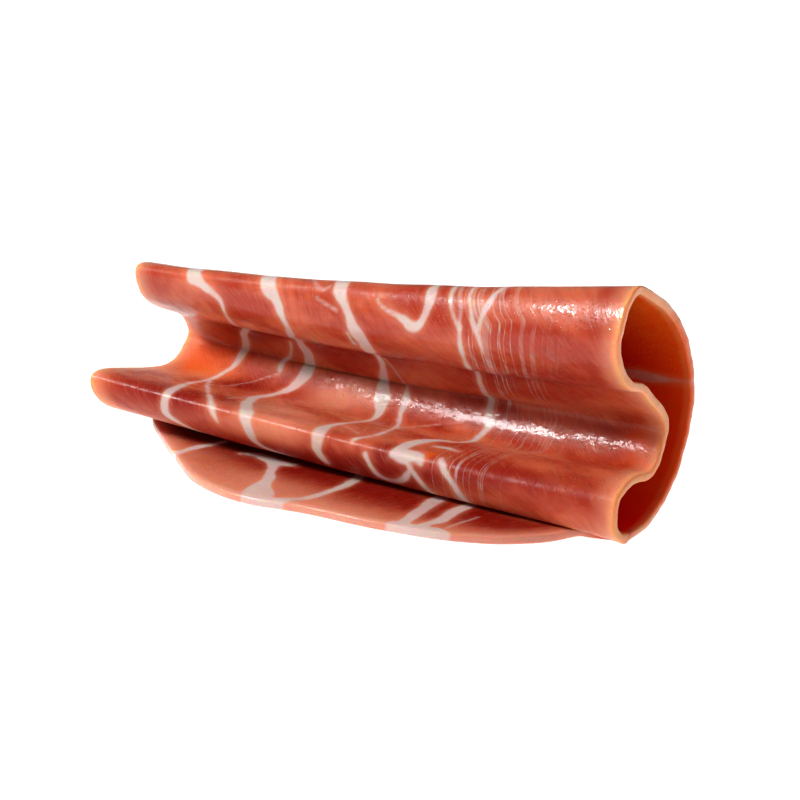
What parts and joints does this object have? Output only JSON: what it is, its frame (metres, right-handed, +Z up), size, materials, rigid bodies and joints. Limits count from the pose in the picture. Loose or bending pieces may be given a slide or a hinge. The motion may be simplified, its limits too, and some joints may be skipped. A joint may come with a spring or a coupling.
{
  "type": "folded prosciutto slice",
  "caption": "Thin slice of dry-cured ham folded lengthwise: a free flap on the table, a high back, two long rolls with a valley between them, and open ends.",
  "frame": {"origin": "on the table, under the middle of the slice's bounding box", "axes": "+X along the folds towards the larger open end, +Y to the high back, +Z up"},
  "size_m": [0.1176, 0.0518, 0.0493],
  "materials": {
    "cured_meat": "moist, translucent, semi-gloss"
  },
  "bodies": {
    "root": {"prosciutto_slice": "cured_meat"}
  },
  "joints": []
}
